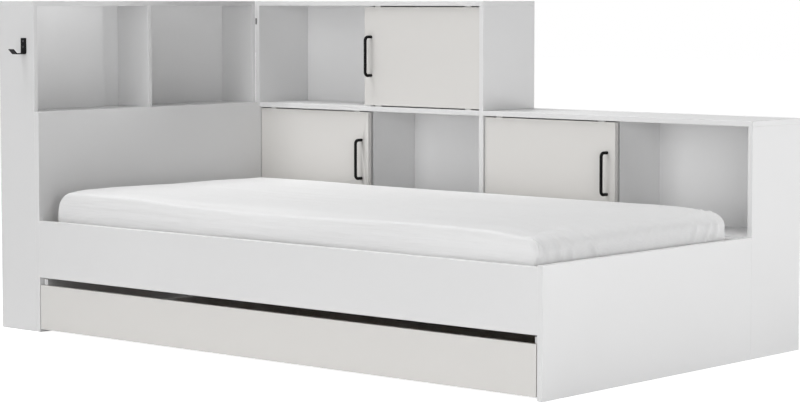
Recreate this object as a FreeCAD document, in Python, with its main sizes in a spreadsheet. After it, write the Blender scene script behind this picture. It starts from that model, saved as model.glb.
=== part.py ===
import FreeCAD
import Part
import Sketcher
import math
import os
import re

# Single bed with a bookcase headboard, a two-level side bookcase with three
# sliding doors, and a wide drawer on castors under the mattress.
#
# Millimetres.  +X runs from the headboard to the foot, -Y is the open front
# side of the bed, +Z is up.  The origin is on the floor at the centre of the
# whole piece's outer box.

DOC = FreeCAD.newDocument("bookcase_bed")

# ---------------------------------------------------------------- sizes

SIZES = [
    ("rail_length", 2000, "inside length, head panel to footboard"),
    ("bed_width", 992, "front face of the bed to front face of the bookcase"),
    ("bed_board", 18, "boards that carry the bed"),
    ("board", 16, "all other boards"),
    ("upper_height", 1050, "headboard and tall bookcase bay"),
    ("lower_height", 700, "low bookcase bay and headboard shelf"),
    ("headboard_depth", 169, "headboard compartments, front to back"),
    ("headboard_floor", 30, "underside of the headboard's bottom board"),
    ("bookcase_depth", 265, "side bookcase, front to back"),
    ("left_bay", 986, "clear width of the tall bay"),
    ("open_width", 485, "clear width of an open compartment"),
    ("footboard_height", 360, "footboard, level with the compartment floors"),
    ("rail_top", 355, "top edge of both side rails"),
    ("rail_height", 180, "depth of both side rails"),
    ("plinth_height", 100, "bookcase plinth"),
    ("back_sheet", 3, "thin back sheets"),
    ("back_inset", 17, "rear edge of a carcass to its back sheet"),
    ("back_lift", 60, "floor to the lower edge of the back sheets"),
    ("groove_depth", 5, "groove that holds a back sheet"),
    ("sheet_play", 0.1, "play each side of a back sheet in its groove"),
    ("sheet_edge_gap", 0.5, "back sheet to the bottom of its groove"),
    ("partition_setback", 35, "bookcase front to the partitions"),
    ("door_recess", 8, "bookcase front to the door face"),
    ("door_side_gap", 2, "door to the upright beside it"),
    ("door_end_gap", 4, "door to the boards above and below"),
    ("track_depth", 5, "door groove in a board"),
    ("track_inset", 30, "end of a bay to the end of its door groove"),
    ("glide_inset", 55, "door edge to the glide's middle"),
    ("glide_length", 24, "glide, along the door"),
    ("glide_thick", 7, "glide, across the door"),
    ("glide_play", 0.3, "glide to the groove's walls and bottom"),
    ("glide_fit", 0.1, "glide to its seat in the door edge"),
    ("glide_depth", 10, "glide in the door edge"),
    ("handle_centres", 128, "hole spacing of a bow handle"),
    ("handle_rod", 10, "round bar of a handle"),
    ("handle_standoff", 30, "door face to the bar's axis"),
    ("handle_bend", 12, "bend radius on the bar's axis"),
    ("handle_edge", 30, "door edge to the bar's axis"),
    ("screw_diameter", 4, "handle screw"),
    ("screw_play", 0.2, "play round a screw in its bore"),
    ("screw_reach", 8, "handle screw inside the bar"),
    ("screw_head", 8, "head of a handle screw"),
    ("screw_head_height", 2.4, "head of a handle screw"),
    ("hook_width", 25, "coat hook strip"),
    ("hook_thick", 3, "coat hook strip"),
    ("hook_height", 51, "coat hook, top to underside"),
    ("hook_arm", 37, "board face to the hook's second bend"),
    ("lip_length", 20.5, "hook lip, beyond its bend"),
    ("lip_angle", 43, "hook lip, degrees above the arm"),
    ("hook_bend", 4, "bend radius on the strip's middle"),
    ("hook_from_wall", 121, "headboard's rear face to the hook's middle"),
    ("hook_drop", 117, "headboard top to the top of the hook"),
    ("hook_screw_drop", 10, "top of the hook to its upper screw"),
    ("hook_screw_spacing", 18, "between the hook's screws"),
    ("hook_screw_length", 15, "hook screw in the board and the strip"),
    ("hook_screw_head", 6.5, "hook screw head"),
    ("hook_head_height", 1.6, "hook screw head, domed part"),
    ("ledge_width", 20, "slat ledge, across"),
    ("ledge_height", 30, "slat ledge, up"),
    ("ledge_drop", 95, "rail top to ledge top"),
    ("ledge_end_gap", 20, "ledge end to the cross boards"),
    ("slat_width", 70, "slat, along the bed"),
    ("slat_thick", 18, "slat"),
    ("slat_count", 13, "slats"),
    ("slat_end_gap", 35, "end slats to the cross boards"),
    ("slat_side_gap", 2, "slat end to the rail"),
    ("mattress_thick", 165, "mattress"),
    ("mattress_round", 30, "rounding of the mattress edges"),
    ("mattress_head_gap", 58, "head panel to mattress"),
    ("mattress_foot_gap", 32, "mattress to footboard"),
    ("mattress_front_gap", 13, "front rail to mattress"),
    ("mattress_rear_gap", 43, "mattress to rear rail"),
    ("rest_gap", 0.3, "soft or rolling piece to what it rests on"),
    ("drawer_side_gap", 3.5, "drawer front to the boards beside it"),
    ("drawer_top_gap", 24, "finger gap under the front rail"),
    ("front_clearance", 10, "floor to the drawer front"),
    ("side_rise", 18, "drawer sides above the drawer front"),
    ("box_clearance", 14, "floor to the drawer sides"),
    ("drawer_floor", 60, "floor to the top of the drawer bottom"),
    ("bumper_thick", 6, "felt pad on the drawer back"),
    ("bumper_diameter", 20, "felt pad on the drawer back"),
    ("bumper_inset", 60, "felt pad to the drawer side"),
    ("wheel_diameter", 40, "castor wheel"),
    ("wheel_width", 16, "castor wheel at its hub"),
    ("tread_width", 13, "castor wheel at its tread"),
    ("hub_diameter", 16, "castor wheel's raised hub"),
    ("axle_diameter", 6, "castor axle"),
    ("axle_play", 0.05, "axle to hub, all round"),
    ("ear_gap", 0.8, "wheel to bracket ear"),
    ("ear_thick", 2, "bracket ear and plate"),
    ("ear_radius", 9, "rounded end of an ear"),
    ("cutter_margin", 1, "cutter beyond the rounded end of an ear"),
    ("plate_margin", 14, "bracket plate beyond its ears"),
    ("castor_inset", 120, "drawer side to the castor's middle"),
    ("castor_depth", 110, "drawer front or back to the castor's axle"),
    ("cam_diameter", 15, "cam lock"),
    ("cam_thick", 13.5, "cam lock, for an 18 mm board"),
    ("cam_inset", 34, "rail end to the cam's axis"),
    ("cam_edge", 40, "rail edge to the cam's axis"),
    ("cam_bolt", 7, "cam lock bolt"),
    ("cam_bolt_grip", 11, "cam bolt in the cross board"),
    ("cam_play", 0.2, "play round cams and their bolts"),
    ("cap_width", 6.5, "connector cap in the tall side panel"),
    ("cap_height", 21, "connector cap"),
    ("cap_depth", 3, "connector cap"),
    ("cap_drop", 70, "bookcase top to the connector cap's middle"),
]

DERIVED = [
    ("hook_reach", "hook_arm + lip_length * cos(lip_angle) + hook_thick / 2 * sin(lip_angle)"),
    ("panel_x", "headboard_depth"),
    ("rail_x", "headboard_depth + bed_board"),
    ("foot_x", "rail_x + rail_length"),
    ("bed_length", "foot_x + bed_board"),
    ("total_depth", "bed_width + bookcase_depth"),
    ("head_x", "-bed_length / 2"),
    ("front_y", "(hook_reach - total_depth) / 2"),
    ("case_y", "front_y + bed_width"),
    ("upright_x", "rail_x + left_bay"),
    ("right_bay_x", "upright_x + board"),
    ("end_panel_x", "bed_length - board"),
    ("right_bay", "end_panel_x - right_bay_x"),
    ("left_closed", "left_bay - open_width - board"),
    ("right_closed", "right_bay - open_width - board"),
    ("groove_width", "back_sheet + 2 * sheet_play"),
    ("back_line", "back_inset + groove_width"),
    ("inner_depth", "bookcase_depth - back_line"),
    ("sheet_in", "groove_depth - sheet_edge_gap"),
    ("upper_opening", "upper_height - board - lower_height"),
    ("lower_opening", "lower_height - board - footboard_height"),
    ("track_width", "glide_thick + 2 * glide_play"),
    ("track_y", "door_recess + board / 2"),
    ("glide_reach", "door_end_gap + track_depth - glide_play"),
    ("ledge_top", "rail_top - ledge_drop"),
    ("slat_top", "ledge_top + slat_thick"),
    ("rail_inside", "bed_width - 2 * bed_board"),
    ("mattress_length", "rail_length - mattress_head_gap - mattress_foot_gap"),
    ("mattress_width", "rail_inside - mattress_front_gap - mattress_rear_gap"),
    ("hook_top", "upper_height - hook_drop"),
    ("cap_middle", "upper_height - cap_drop"),
    ("drawer_length", "rail_length - 2 * drawer_side_gap"),
    ("front_top", "rail_top - rail_height - drawer_top_gap"),
    ("side_top", "front_top + side_rise"),
    ("drawer_depth", "bed_width - bumper_thick - rest_gap"),
    ("box_inside", "drawer_length - 2 * board"),
    ("axle_height", "wheel_diameter / 2"),
    ("plate_top", "drawer_floor - board"),
    ("ear_half", "wheel_width / 2 + ear_gap + ear_thick"),
    ("cutter_half", "ear_radius + cutter_margin"),
]

SHEET = DOC.addObject("Spreadsheet::Sheet", "Sizes")
ROWS = [(name, str(value), note) for name, value, note in SIZES]
ROWS += [(name, "=" + formula, "") for name, formula in DERIVED]
for row, (name, content, note) in enumerate(ROWS, start=1):
    SHEET.set("A%d" % row, name)
    SHEET.set("B%d" % row, content)
    SHEET.setAlias("B%d" % row, name)
    SHEET.set("C%d" % row, note)
DOC.recompute()

# ---------------------------------------------------------------- helpers

X = FreeCAD.Vector(1, 0, 0)
Y = FreeCAD.Vector(0, 1, 0)
Z = FreeCAD.Vector(0, 0, 1)
SUBPARTS = []


def sized(formula):
    """Write a formula of plain size names as an expression on the sheet."""
    return re.sub(r"\b([a-z]\w*)\b(?!\()", r"Sizes.\1", str(formula))


def bind(item, **formulas):
    """Tie properties of an object to the sheet."""
    for name, formula in formulas.items():
        item.setExpression(name, sized(formula))


def put(item, at, turn=None):
    """Place an object at three formulas, turned from +Z to an axis if given."""
    if turn is not None:
        item.Placement = FreeCAD.Placement(FreeCAD.Vector(), FreeCAD.Rotation(Z, turn))
    for axis, formula in zip("xyz", at):
        item.setExpression("Placement.Base." + axis, sized(formula))


def new_body(label, at, several=False):
    """Start a sub-part at a place in the bed's frame."""
    body = DOC.addObject("PartDesign::Body", label)
    body.Label = label
    body.AllowCompound = several
    put(body, at)
    SUBPARTS.append(body)
    return body


def plane(body, role):
    """Find one of the body's own origin planes or axes."""
    return [item for item in body.Origin.OriginFeatures if item.Role == role][0]


def sketch(body, name, role):
    """Start a sketch on one of the body's origin planes."""
    item = body.newObject("Sketcher::SketchObject", body.Name + "_" + name)
    item.AttachmentSupport = [(plane(body, role), "")]
    item.MapMode = "FlatFace"
    return item


def dimension(item, name, formula, kind, *points):
    """Add a named dimension to a sketch and tie it to the sheet."""
    index = item.addConstraint(Sketcher.Constraint(kind, *points))
    item.renameConstraint(index, name)
    item.setExpression("Constraints." + name, sized(formula))


def value(formula):
    """Work a formula out from the sheet, to draw a sketch near its true size."""
    return float(SHEET.evalExpression(sized(formula)))


def outline(item, corners):
    """Draw a closed straight-sided outline, each corner held by two formulas."""
    points = [FreeCAD.Vector(value(x), value(y), 0) for x, y in corners]
    count = len(points)
    for index in range(count):
        item.addGeometry(Part.LineSegment(points[index], points[(index + 1) % count]), False)
    for index in range(count):
        item.addConstraint(Sketcher.Constraint("Coincident", index, 2, (index + 1) % count, 1))
        for kind, letter, formula, number in [("DistanceX", "x", corners[index][0], points[index].x),
                                              ("DistanceY", "y", corners[index][1], points[index].y)]:
            dimension(item, "%s%d" % (letter, index), formula, kind, -1, 1, index, 1, number)


def strip_path(item, lines, arcs):
    """Draw three straight runs joined by two tangent bends, starting at the sketch's origin."""
    for start, end in lines:
        item.addGeometry(Part.LineSegment(FreeCAD.Vector(*start, 0), FreeCAD.Vector(*end, 0)), False)
    for centre, radius, low, high in arcs:
        circle = Part.Circle(FreeCAD.Vector(*centre, 0), Z, radius)
        arc = Part.ArcOfCircle(circle, math.radians(low), math.radians(high))
        item.addGeometry(arc, False)
    for line, line_end, arc, arc_end in [(0, 2, 3, 2), (1, 1, 3, 1), (1, 2, 4, 2), (2, 1, 4, 1)]:
        item.addConstraint(Sketcher.Constraint("Tangent", line, line_end, arc, arc_end))
    item.addConstraint(Sketcher.Constraint("Coincident", 0, 1, -1, 1))
    item.addConstraint(Sketcher.Constraint("Equal", 3, 4))


def rectangle(item, wide, deep):
    """Draw a rectangle from the sketch's origin."""
    outline(item, [("0", "0"), (wide, "0"), (wide, deep), ("0", deep)])


def pad(body, profile, length):
    """Raise a sketch into a solid."""
    item = body.newObject("PartDesign::Pad", body.Name + "_pad")
    item.Profile = profile
    bind(item, Length=length)
    return item


def board(label, at, size):
    """Make a flat board from its lower front left corner and its three sizes."""
    body = new_body(label, at)
    profile = sketch(body, "outline", "XY_Plane")
    rectangle(profile, size[0], size[1])
    pad(body, profile, size[2])
    return body


def cut(body, name, at, size):
    """Cut a groove or pocket, given in the board's own corner frame."""
    item = body.newObject("PartDesign::SubtractiveBox", body.Name + "_" + name)
    bind(item, Length=size[0], Width=size[1], Height=size[2])
    put(item, at)


def bore(body, name, at, axis, diameter, depth):
    """Drill a round hole from a point along an axis, in the body's own frame."""
    item = body.newObject("PartDesign::SubtractiveCylinder", body.Name + "_" + name)
    bind(item, Radius="(%s) / 2" % diameter, Height=depth)
    put(item, at, axis)


def rod(name, at, axis, diameter, length):
    """Make a plain round rod as a piece of a group."""
    item = DOC.addObject("Part::Cylinder", name)
    bind(item, Radius="(%s) / 2" % diameter, Height=length)
    put(item, at, axis)
    return item


def block(name, at, size):
    """Make a plain block as a piece of a group."""
    item = DOC.addObject("Part::Box", name)
    bind(item, Length=size[0], Width=size[1], Height=size[2])
    put(item, at)
    return item


def joined(name, pieces):
    """Fuse pieces into one solid."""
    item = DOC.addObject("Part::MultiFuse", name)
    item.Shapes = pieces
    return item


def group(label, pieces):
    """Collect like pieces, each its own solid, in one sub-part."""
    item = DOC.addObject("Part::Compound", label)
    item.Label = label
    item.Links = pieces
    SUBPARTS.append(item)
    return item


def copies(label, body, places):
    """Collect copies of one body at several places in one sub-part."""
    SUBPARTS.remove(body)
    links = []
    for number, place in enumerate(places, start=1):
        link = DOC.addObject("App::Link", "%s_%d" % (body.Name, number))
        link.LinkedObject = body
        link.LinkTransform = False
        put(link, place)
        links.append(link)
    return group(label, links)


# ---------------------------------------------------------------- headboard
# Two side panels under one top, a shelf, a divider between two open
# compartments, a thick head panel over the lower front, and a thin back.


def headboard_side(label, y, groove_y):
    side = board(label, ("head_x", y, 0), ("headboard_depth", "board", "upper_height - board"))
    cut(side, "back_groove", ("back_inset", groove_y, 0),
        ("groove_width", "groove_depth", "upper_height"))
    return side


headboard_front_side = headboard_side("headboard_front_side", "front_y", "board - groove_depth")
headboard_rear_side = headboard_side("headboard_rear_side", "case_y - board", 0)

headboard_top = board("headboard_top", ("head_x", "front_y", "upper_height - board"),
                      ("headboard_depth", "bed_width", "board"))
cut(headboard_top, "back_groove", ("back_inset", "board - groove_depth", 0),
    ("groove_width", "bed_width - 2 * board + 2 * groove_depth", "groove_depth"))

for label, z in [("headboard_shelf", "lower_height - board"),
                 ("headboard_bottom", "headboard_floor")]:
    board(label, ("head_x + back_line", "front_y + board", z),
          ("headboard_depth - back_line", "bed_width - 2 * board", "board"))

board("headboard_divider", ("head_x + back_line", "front_y + (bed_width - board) / 2", "lower_height"),
      ("headboard_depth - back_line", "board", "upper_opening"))

headboard_panel = board("headboard_panel", ("head_x + panel_x", "front_y", 0),
                        ("bed_board", "bed_width", "lower_height"))

board("headboard_back",
      ("head_x + back_inset + sheet_play", "front_y + board - sheet_in", "back_lift"),
      ("back_sheet", "bed_width - 2 * board + 2 * sheet_in",
       "upper_height - board + sheet_in - back_lift"))

# ---------------------------------------------------------------- bookcase
# A tall left bay and a low right bay.  Every upright stands on the floor and
# the tops lie over them.  The back sheets run in grooves.


def upright(label, x, thick, height, grooves):
    """A standing panel; grooves gives each back groove's side and its height."""
    panel = board(label, ("head_x + " + x, "case_y", "0"), (thick, "bookcase_depth", height))
    for side, groove_height in grooves.items():
        start = "0" if side == "left" else thick + " - groove_depth"
        cut(panel, side + "_groove", (start, "inner_depth", "0"),
            ("groove_depth", "groove_width", groove_height))
    return panel


def door_track(panel, name, x, z, bay):
    """Groove for door glides: z is the groove's lower side in the board."""
    cut(panel, name, (x + " + track_inset", "track_y - track_width / 2", z),
        (bay + " - 2 * track_inset", "track_width", "track_depth"))


bookcase_left_side = upright("bookcase_left_side", "panel_x", "bed_board",
                             "upper_height - board", {"right": "upper_height - board"})
upright("bookcase_middle_upright", "upright_x", "board", "upper_height - board",
        {"left": "upper_height - board", "right": "lower_height - board + groove_depth"})
upright("bookcase_right_end", "end_panel_x", "board", "lower_height - board",
        {"left": "lower_height - board"})

upper_top = board("bookcase_upper_top", ("head_x + panel_x", "case_y", "upper_height - board"),
                  ("bed_board + left_bay + board", "bookcase_depth", "board"))
cut(upper_top, "back_groove", ("bed_board - groove_depth", "inner_depth", "0"),
    ("left_bay + 2 * groove_depth", "groove_width", "groove_depth"))
door_track(upper_top, "track", "bed_board", "0", "left_bay")

lower_top = board("bookcase_lower_top", ("head_x + right_bay_x", "case_y", "lower_height - board"),
                  ("right_bay + board", "bookcase_depth", "board"))
cut(lower_top, "back_groove", ("0", "inner_depth", "0"),
    ("right_bay + groove_depth", "groove_width", "groove_depth"))
door_track(lower_top, "track", "0", "0", "right_bay")

middle_board = board("bookcase_middle_board", ("head_x + rail_x", "case_y", "lower_height - board"),
                     ("left_bay", "inner_depth", "board"))
door_track(middle_board, "upper_track", "0", "board - track_depth", "left_bay")
door_track(middle_board, "lower_track", "0", "0", "left_bay")

BAYS = [("left", "rail_x", "left_bay", "upper_height"),
        ("right", "right_bay_x", "right_bay", "lower_height")]
for side, bay_x, bay, height in BAYS:
    floor = board("bookcase_%s_floor" % side, ("head_x + " + bay_x, "case_y", "footboard_height - board"),
                  (bay, "inner_depth", "board"))
    door_track(floor, "track", "0", "board - track_depth", bay)
    board("bookcase_%s_plinth" % side, ("head_x + " + bay_x, "case_y", "0"),
          (bay, "board", "plinth_height"))
    board("bookcase_%s_back" % side,
          ("head_x + %s - sheet_in" % bay_x, "case_y + inner_depth + sheet_play", "back_lift"),
          (bay + " + 2 * sheet_in", "back_sheet", height + " - board + sheet_in - back_lift"))

for label, x, z, height in [
        ("upper_partition", "rail_x + open_width", "lower_height", "upper_opening"),
        ("lower_left_partition", "rail_x + left_closed", "footboard_height", "lower_opening"),
        ("lower_right_partition", "right_bay_x + right_closed", "footboard_height", "lower_opening")]:
    board(label, ("head_x + " + x, "case_y + partition_setback", z),
          ("board", "inner_depth - partition_setback", height))

cut(bookcase_left_side, "cap_seat", ("0", "0", "cap_middle - cap_height / 2"),
    ("cap_width", "cap_depth", "cap_height"))
board("connector_cap", ("head_x + panel_x", "case_y", "cap_middle - cap_height / 2"),
      ("cap_width", "cap_depth", "cap_height"))

# ---------------------------------------------------------------- doors
# Three flush doors slide past their partitions.  Each runs on four plastic
# glides, two up and two down, whose nubs sit in grooves milled in the boards,
# and has a bow handle of bent round bar, screwed on from behind.


def glides(label, x, z, width, height):
    """Four glides, pressed into the door's edges, with tongues that run in the grooves."""
    pieces = []
    for end, low_z in [("bottom", z + " - glide_reach"), ("top", z + " + " + height + " - glide_depth")]:
        for side, along in [("left", "glide_inset"), ("right", width + " - glide_inset")]:
            at = ("head_x + %s + %s - glide_length / 2" % (x, along),
                  "case_y + track_y - glide_thick / 2", low_z)
            pieces.append(block("%s_%s_%s" % (label, end, side), at,
                                ("glide_length", "glide_thick", "glide_depth + glide_reach")))
    return group(label, pieces)


def bow_handle(label, at):
    """Round bar bent to a bow, drilled in both feet for its screws."""
    handle = new_body(label, at)
    path = sketch(handle, "path", "YZ_Plane")
    reach, centres, bend = value("handle_standoff"), value("handle_centres"), value("handle_bend")
    strip_path(path,
               [((0, 0), (bend - reach, 0)), ((-reach, bend), (-reach, centres - bend)),
                ((bend - reach, centres), (0, centres))],
               [((bend - reach, bend), bend, 180, 270),
                ((bend - reach, centres - bend), bend, 90, 180)])
    path.addConstraint(Sketcher.Constraint("PointOnObject", 2, 2, -2))
    path.addConstraint(Sketcher.Constraint("Horizontal", 0))
    path.addConstraint(Sketcher.Constraint("Horizontal", 2))
    path.addConstraint(Sketcher.Constraint("Vertical", 1))
    dimension(path, "reach", "handle_standoff", "DistanceX", 1, 1, -1, 1, reach)
    dimension(path, "centres", "handle_centres", "DistanceY", 0, 1, 2, 2, centres)
    dimension(path, "bend", "handle_bend", "Radius", 3, bend)

    section = sketch(handle, "section", "XZ_Plane")
    section.addGeometry(Part.Circle(FreeCAD.Vector(), Z, value("handle_rod / 2")), False)
    section.addConstraint(Sketcher.Constraint("Coincident", 0, 3, -1, 1))
    dimension(section, "thickness", "handle_rod", "Diameter", 0, value("handle_rod"))
    bar = handle.newObject("PartDesign::AdditivePipe", label + "_bar")
    bar.Profile = section
    bar.Spine = (path, ["Edge1", "Edge4", "Edge2", "Edge5", "Edge3"])
    DOC.recompute()
    for name, z in [("lower", "0"), ("upper", "handle_centres")]:
        bore(handle, name + "_thread", ("0", "0", z), -Y, "screw_diameter + 2 * screw_play",
             "screw_reach")
    return handle


def handle_screws(label, x, y, z):
    """Two pan head screws from the door's back into the handle's feet."""
    pieces = []
    for name, foot_z in [("lower", z), ("upper", z + " + handle_centres")]:
        at = (x, y + " + board", foot_z)
        shank = rod("%s_%s_shank" % (label, name), at, -Y, "screw_diameter",
                    "board + screw_reach - rest_gap")
        head = rod("%s_%s_head" % (label, name), at, Y, "screw_head", "screw_head_height")
        pieces.append(joined("%s_%s" % (label, name), [shank, head]))
    return group(label, pieces)


def sliding_door(label, x, z, width, height, handle_along):
    """Door panel with its glides, handle and screws; z is its lower edge."""
    face_y = "case_y + door_recess"
    panel = board(label, ("head_x + " + x, face_y, z), (width, "board", height))
    for side, along in [("left", "glide_inset"), ("right", width + " - glide_inset")]:
        for end, low_z in [("lower", "0"), ("upper", height + " - glide_depth")]:
            cut(panel, "%s_%s_glide" % (end, side),
                (along + " - glide_length / 2 - glide_fit", "(board - glide_thick) / 2 - glide_fit", low_z),
                ("glide_length + 2 * glide_fit", "glide_thick + 2 * glide_fit", "glide_depth"))
    foot = "(%s - handle_centres) / 2" % height
    for name, rise in [("lower", foot), ("upper", foot + " + handle_centres")]:
        bore(panel, name + "_screw", (handle_along, "0", rise), Y,
             "screw_diameter + 2 * screw_play", "board")
    glides(label + "_glides", x, z, width, height)
    foot_at = ("head_x + %s + %s" % (x, handle_along), face_y, "%s + %s" % (z, foot))
    bow_handle(label + "_handle", foot_at)
    handle_screws(label + "_screws", *foot_at)


LEFT_DOOR = "(left_closed + board - door_side_gap)"
RIGHT_DOOR = "(right_closed + board - door_side_gap)"
UPPER_HEIGHT = "(upper_opening - 2 * door_end_gap)"
LOWER_HEIGHT = "(lower_opening - 2 * door_end_gap)"
sliding_door("upper_door", "upright_x - door_side_gap - " + LEFT_DOOR, "lower_height + door_end_gap",
             LEFT_DOOR, UPPER_HEIGHT, "handle_edge")
sliding_door("lower_left_door", "rail_x + door_side_gap", "footboard_height + door_end_gap",
             LEFT_DOOR, LOWER_HEIGHT, LEFT_DOOR + " - handle_edge")
sliding_door("lower_right_door", "right_bay_x + door_side_gap", "footboard_height + door_end_gap",
             RIGHT_DOOR, LOWER_HEIGHT, RIGHT_DOOR + " - handle_edge")

# ---------------------------------------------------------------- coat hook
# A flat steel strip bent twice, on the headboard's front side, two screws.

hook = new_body("coat_hook", ("head_x + hook_from_wall", "front_y - hook_thick / 2", "hook_top"))
hook_path = sketch(hook, "path", "YZ_Plane")
drop = value("hook_height - hook_thick / 2")
RUN = "hook_arm - hook_thick / 2 - hook_bend * tan(lip_angle / 2)"
run = value(RUN)
radius = value("hook_bend")
lip_y = value("hook_arm - hook_thick / 2 + lip_length * cos(lip_angle)")
lip_z = value("lip_length * sin(lip_angle)")
strip_path(hook_path,
           [((0, 0), (0, radius - drop)), ((-radius, -drop), (-run, -drop)),
            ((-run - radius, radius - drop), (-lip_y, lip_z - drop))],
           [((-radius, radius - drop), radius, 270, 360),
            ((-run, radius - drop), radius, 270 - value("lip_angle"), 270)])
hook_path.addConstraint(Sketcher.Constraint("Vertical", 0))
hook_path.addConstraint(Sketcher.Constraint("Horizontal", 1))
dimension(hook_path, "drop", "hook_height - hook_thick / 2", "DistanceY", 1, 1, 0, 1, drop)
dimension(hook_path, "reach", "hook_arm - hook_thick / 2 + lip_length * cos(lip_angle)",
          "DistanceX", 2, 2, 0, 1, lip_y)
dimension(hook_path, "rise", "lip_length * sin(lip_angle)", "DistanceY", 1, 1, 2, 2, lip_z)
dimension(hook_path, "bend", "hook_bend", "Radius", 3, radius)
dimension(hook_path, "run", RUN, "DistanceX", 1, 2, 0, 1, run)

hook_section = sketch(hook, "section", "XY_Plane")
outline(hook_section, [("-hook_width / 2", "-hook_thick / 2"), ("hook_width / 2", "-hook_thick / 2"),
                       ("hook_width / 2", "hook_thick / 2"), ("-hook_width / 2", "hook_thick / 2")])
hook_strip = hook.newObject("PartDesign::AdditivePipe", "coat_hook_strip")
hook_strip.Profile = hook_section
hook_strip.Spine = (hook_path, ["Edge1", "Edge4", "Edge2", "Edge5", "Edge3"])
DOC.recompute()

hook_screws = []
for name, fall in [("upper", "hook_screw_drop"), ("lower", "hook_screw_drop + hook_screw_spacing")]:
    bore(hook, name + "_hole", ("0", "-hook_thick / 2", "-(%s)" % fall), Y,
         "screw_diameter + 2 * screw_play", "hook_thick")
    bore(headboard_front_side, "hook_%s_hole" % name,
         ("hook_from_wall", "0", "hook_top - (%s)" % fall), Y,
         "screw_diameter + 2 * screw_play", "hook_screw_length - hook_thick")
    at = ("head_x + hook_from_wall", "front_y - hook_thick", "hook_top - (%s)" % fall)
    shank = rod("hook_%s_shank" % name, at, Y, "screw_diameter", "hook_screw_length - rest_gap")
    head = rod("hook_%s_head" % name, at, -Y, "hook_screw_head", "hook_head_height")
    hook_screws.append(joined("hook_%s_screw" % name, [shank, head]))
group("coat_hook_screws", hook_screws)

# ---------------------------------------------------------------- bed base
# Front and rear rails and a footboard, slat ledges on the rails, the slats
# across them and the mattress.

front_rail = board("front_rail", ("head_x + rail_x", "front_y", "rail_top - rail_height"),
                   ("rail_length", "bed_board", "rail_height"))
rear_rail = board("rear_rail", ("head_x + rail_x", "case_y - bed_board", "rail_top - rail_height"),
                  ("rail_length", "bed_board", "rail_height"))
footboard = board("footboard", ("head_x + foot_x", "front_y", "0"),
                  ("bed_board", "bed_width", "footboard_height"))

for label, y in [("front_slat_ledge", "front_y + bed_board"),
                 ("rear_slat_ledge", "case_y - bed_board - ledge_width")]:
    board(label, ("head_x + rail_x + ledge_end_gap", y, "ledge_top - ledge_height"),
          ("rail_length - 2 * ledge_end_gap", "ledge_width", "ledge_height"))

slats = new_body("slats", ("head_x + rail_x + slat_end_gap",
                           "front_y + bed_board + slat_side_gap", "ledge_top"), several=True)
slat_outline = sketch(slats, "outline", "XY_Plane")
rectangle(slat_outline, "slat_width", "rail_inside - 2 * slat_side_gap")
slat = pad(slats, slat_outline, "slat_thick")
row_of_slats = slats.newObject("PartDesign::LinearPattern", "slats_row")
row_of_slats.Originals = [slat]
row_of_slats.Direction = (plane(slats, "X_Axis"), [""])
bind(row_of_slats, Length="rail_length - 2 * slat_end_gap - slat_width", Occurrences="slat_count")
slats.Tip = row_of_slats

mattress = board("mattress", ("head_x + rail_x + mattress_head_gap",
                              "front_y + bed_board + mattress_front_gap", "slat_top + rest_gap"),
                 ("mattress_length", "mattress_width", "mattress_thick"))
block = mattress.Tip
rounding = mattress.newObject("PartDesign::Fillet", "mattress_rounding")
rounding.Base = (block, ["Edge1"])
rounding.UseAllEdges = True
bind(rounding, Radius="mattress_round")

# ---------------------------------------------------------------- rail joints
# Each rail end is drawn to its cross board by two cam locks: a bolt in the
# cross board runs into the rail's end and a cam in its inner face grips it.

cams = []
cam_bolts = []
for rail, rail_name, face_y, axis, mid_y in [
        (front_rail, "front", "bed_board", -Y, "front_y + bed_board / 2"),
        (rear_rail, "rear", "0", Y, "case_y - bed_board / 2")]:
    corner_y = "front_y" if rail_name == "front" else "case_y - bed_board"
    for end, cross, cam_x, bolt_x, way, cross_x in [
            ("head", headboard_panel, "cam_inset", "0", X, "bed_board"),
            ("foot", footboard, "rail_length - cam_inset", "rail_length", -X, "0")]:
        for row, rise in [("lower", "cam_edge"), ("upper", "rail_height - cam_edge")]:
            name = "%s_%s_%s" % (rail_name, end, row)
            height = "rail_top - rail_height + " + rise
            cross_y = mid_y + " - front_y"
            bore(rail, name + "_cam_seat", (cam_x, face_y, rise), axis,
                 "cam_diameter + 2 * cam_play", "cam_thick + cam_play")
            bore(rail, name + "_bolt_way", (bolt_x, "bed_board / 2", rise), way,
                 "cam_bolt + 2 * cam_play", "cam_inset")
            bore(cross, name + "_bolt_seat", (cross_x, cross_y, height), -way,
                 "cam_bolt + 2 * cam_play", "cam_bolt_grip")
            cams.append(rod(name + "_cam", ("head_x + rail_x + " + cam_x, corner_y + " + " + face_y,
                                            height), axis, "cam_diameter", "cam_thick"))
            grip = "-" if way == X else "+"
            cam_bolts.append(rod(name + "_bolt", (
                "head_x + rail_x + %s %s cam_bolt_grip" % (bolt_x, grip), mid_y, height), way,
                "cam_bolt", "cam_bolt_grip + cam_inset - cam_diameter / 2 - rest_gap"))
group("cam_locks", cams)
group("cam_bolts", cam_bolts)

# ---------------------------------------------------------------- drawer
# A full-length box behind a grey front, lower than its sides, on four castors.

BOX_Y = "front_y + board"
drawer_x = "head_x + rail_x + drawer_side_gap"
board("drawer_front", (drawer_x, "front_y", "front_clearance"),
      ("drawer_length", "board", "front_top - front_clearance"))
for label, x in [("drawer_left_side", drawer_x),
                 ("drawer_right_side", drawer_x + " + drawer_length - board")]:
    board(label, (x, BOX_Y, "box_clearance"),
          ("board", "drawer_depth - board", "side_top - box_clearance"))
board("drawer_back", (drawer_x + " + board", "front_y + drawer_depth - board", "box_clearance"),
      ("box_inside", "board", "side_top - box_clearance"))
board("drawer_bottom", (drawer_x + " + board", BOX_Y, "drawer_floor - board"),
      ("box_inside", "drawer_depth - 2 * board", "board"))
board("drawer_batten", (drawer_x + " + (drawer_length - board) / 2", BOX_Y, "box_clearance"),
      ("board", "drawer_depth - 2 * board", "plate_top - box_clearance"))

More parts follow.
